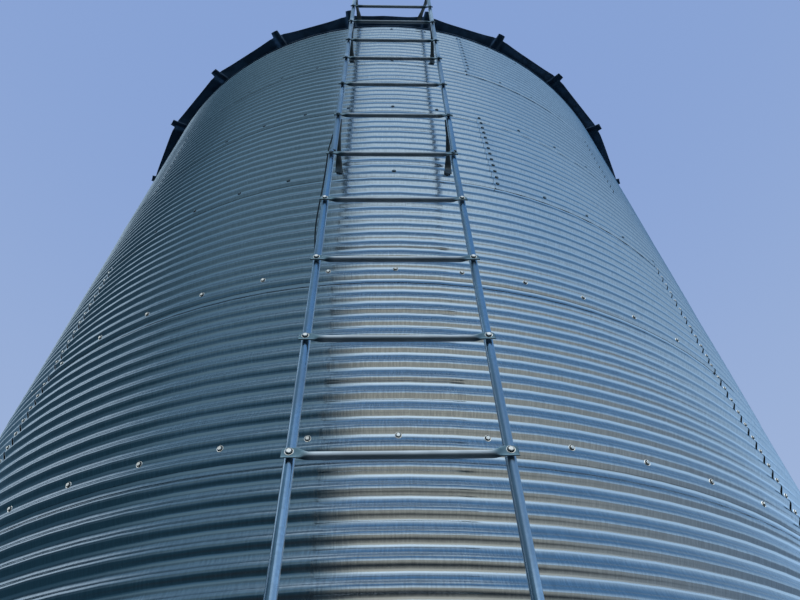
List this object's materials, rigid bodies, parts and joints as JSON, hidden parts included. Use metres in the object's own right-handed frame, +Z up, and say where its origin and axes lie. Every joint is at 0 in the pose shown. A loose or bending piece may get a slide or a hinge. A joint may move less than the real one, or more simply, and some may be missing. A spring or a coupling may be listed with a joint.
{
  "type": "grain silo",
  "caption": "Round corrugated steel grain silo with a ribbed conical roof, a lidded filling hole and an outside ladder.",
  "frame": {"origin": "on the ground under the middle of the whole silo with its ladder", "axes": "+Z up along the silo's axis, -Y towards the ladder, +X to the right of someone facing the ladder"},
  "size_m": [4.7218, 4.8406, 7.9057],
  "materials": {
    "wall_sheet": "galvanised corrugated sheet, spangled, half bright",
    "roof_sheet": "galvanised sheet, duller than the wall",
    "ladder_steel": "galvanised tube, matt grey",
    "angle_steel": "galvanised rolled angle, matt grey",
    "cord_fibre": "thin dark braided polypropylene cord"
  },
  "bodies": {
    "root": {"wall_ring_1": "wall_sheet", "wall_ring_2": "wall_sheet", "wall_ring_3": "wall_sheet", "wall_ring_4": "wall_sheet", "wall_ring_5": "wall_sheet", "wall_ring_6": "wall_sheet", "wall_ring_7": "wall_sheet", "wall_ring_8": "wall_sheet", "base_ring": "angle_steel", "eave_ring": "angle_steel", "roof_sector_1": "roof_sheet", "roof_sector_2": "roof_sheet", "roof_sector_3": "roof_sheet", "roof_sector_4": "roof_sheet", "roof_sector_5": "roof_sheet", "roof_sector_6": "roof_sheet", "roof_sector_7": "roof_sheet", "roof_sector_8": "roof_sheet", "peak_collar": "roof_sheet", "peak_lid": "roof_sheet", "ladder_rail_lower_left": "ladder_steel", "ladder_rail_upper_left": "ladder_steel", "ladder_rail_lower_right": "ladder_steel", "ladder_rail_upper_right": "ladder_steel", "ladder_rung_1": "ladder_steel", "ladder_rung_2": "ladder_steel", "ladder_rung_3": "ladder_steel", "ladder_rung_4": "ladder_steel", "ladder_rung_5": "ladder_steel", "ladder_rung_6": "ladder_steel", "ladder_rung_7": "ladder_steel", "ladder_rung_8": "ladder_steel", "ladder_rung_9": "ladder_steel", "ladder_rung_10": "ladder_steel", "ladder_rung_11": "ladder_steel", "ladder_rung_12": "ladder_steel", "ladder_rung_13": "ladder_steel", "ladder_rung_14": "ladder_steel", "ladder_rung_15": "ladder_steel", "ladder_rung_16": "ladder_steel", "ladder_strut_1_left": "ladder_steel", "ladder_strut_1_right": "ladder_steel", "ladder_strut_5_left": "ladder_steel", "ladder_strut_5_right": "ladder_steel", "ladder_strut_7_left": "ladder_steel", "ladder_strut_7_right": "ladder_steel", "ladder_cord": "cord_fibre", "eave_strut_left": "ladder_steel", "eave_strut_right": "ladder_steel"}
  },
  "joints": []
}
